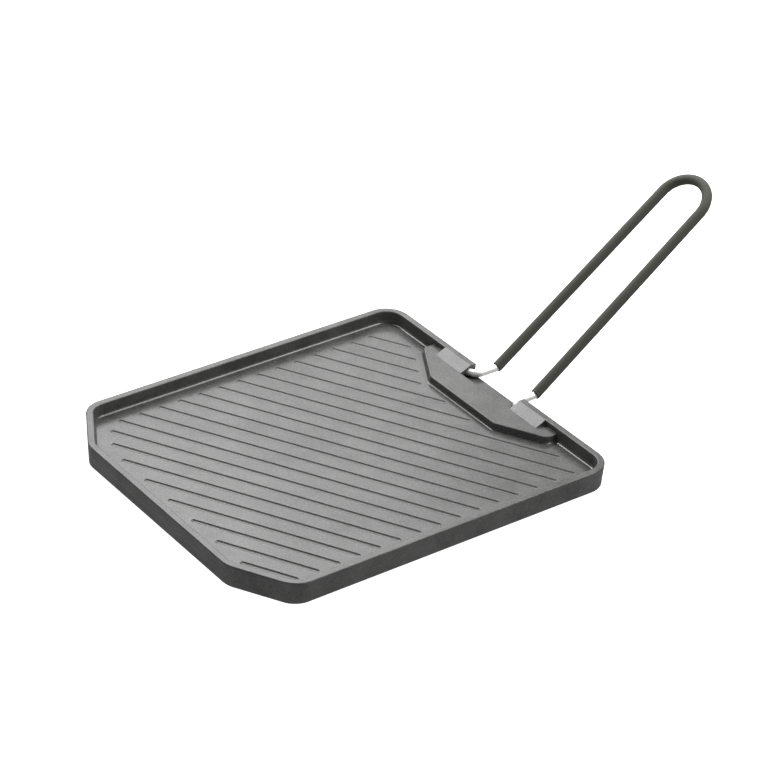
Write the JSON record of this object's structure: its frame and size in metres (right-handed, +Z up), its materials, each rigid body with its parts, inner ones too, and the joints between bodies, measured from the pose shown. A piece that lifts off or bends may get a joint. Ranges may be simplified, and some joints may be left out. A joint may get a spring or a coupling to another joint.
{
  "type": "camp griddle plate",
  "caption": "Shallow cast griddle plate with a raised rim, slanted drain grooves and cut front corners, and a sleeved wire handle that folds over it.",
  "frame": {"origin": "middle of the plate's flat underside", "axes": "+Z up out of the cooking floor, +Y towards the handle, +X along the handle edge"},
  "size_m": [0.22, 0.4018, 0.1141],
  "materials": {
    "coated_casting": "satin grey non-stick coat on a casting",
    "bright_wire": "bright drawn stainless wire",
    "grip_sleeve": "matte silicone"
  },
  "bodies": {
    "plate": {"griddle_plate": "coated_casting"},
    "handle": {"handle_wire": "bright_wire", "handle_sleeve": "grip_sleeve"}
  },
  "joints": [
    {"name": "handle_fold", "type": "hinge", "parent": "plate", "child": "handle", "pos_m": [0, 0.11975, 0.0107], "axis": [1, 0, 0], "range_deg": [0, 146.5]}
  ]
}
